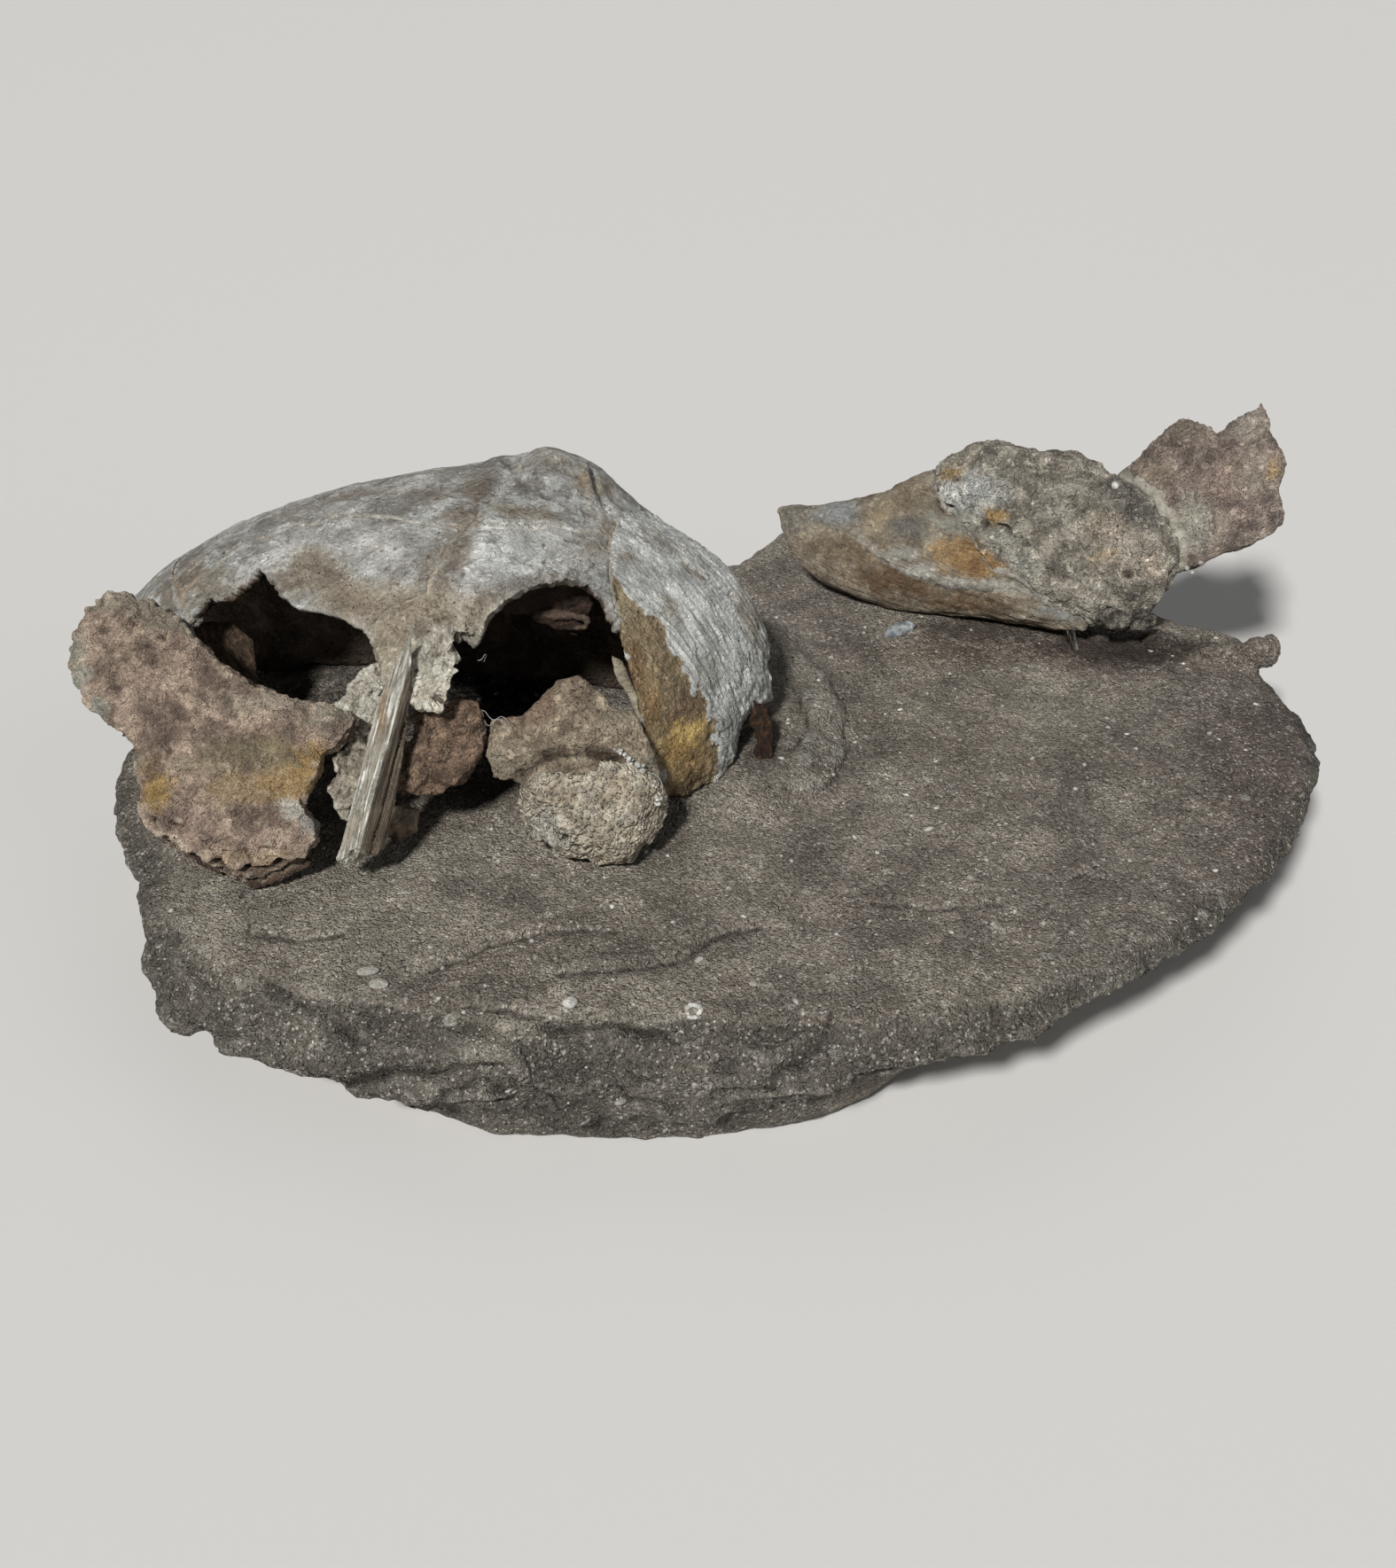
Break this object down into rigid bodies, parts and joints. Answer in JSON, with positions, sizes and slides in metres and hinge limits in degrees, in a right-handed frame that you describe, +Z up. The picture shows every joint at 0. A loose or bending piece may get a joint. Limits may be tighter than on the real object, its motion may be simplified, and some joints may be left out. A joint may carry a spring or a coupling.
{
  "type": "fossil sea turtle skull on rock slab",
  "caption": "Life-size fossil sea turtle skull with open eye sockets on its rough sandstone slab, with a broken piece of lower jaw beside it.",
  "frame": {"origin": "middle of the underside of the rock slab, on the surface it stands on", "axes": "+X along the slab towards the jaw piece, -Y towards the snout, +Z up"},
  "size_m": [0.2748, 0.2196, 0.0891],
  "materials": {
    "sandstone": "rough grey-brown sandstone with bright grains and white shell bits",
    "roof_bone": "weathered pale grey bone with brown stains and pores",
    "cheek_bone": "fibrous pale blue-white bone with ochre stains",
    "crumbly_bone": "crumbly beige bone with sand grains",
    "stained_bone": "mauve-brown bone with yellow and orange stains",
    "brown_bone": "granular brown bone",
    "splinter_bone": "pale cream bone with long fibres",
    "matrix_rock": "sandy grey-brown rock with coarse grains",
    "jaw_bone": "smooth tan bone with pale ridges and orange stains"
  },
  "bodies": {
    "root": {"matrix_slab": "sandstone", "right_frontal": "roof_bone", "left_frontal": "roof_bone", "right_parietal": "roof_bone", "left_parietal": "roof_bone", "nasal_bridge": "crumbly_bone", "right_postorbital": "roof_bone", "left_postorbital": "cheek_bone", "supraoccipital_crest": "roof_bone", "braincase_rock": "matrix_rock", "right_maxilla": "stained_bone", "bone_splinter": "splinter_bone", "palatine_lump": "brown_bone", "right_palatine": "crumbly_bone", "palate_chip": "splinter_bone", "left_pterygoid": "brown_bone", "orbit_rock": "matrix_rock", "left_jugal_sheet": "splinter_bone", "left_quadrate": "brown_bone", "right_orbit_wall": "crumbly_bone", "left_orbit_wall": "brown_bone", "jaw_dentary": "jaw_bone", "jaw_rock": "matrix_rock", "jaw_flake": "stained_bone", "grey_nodule": "matrix_rock", "small_nodule": "matrix_rock"}
  },
  "joints": []
}
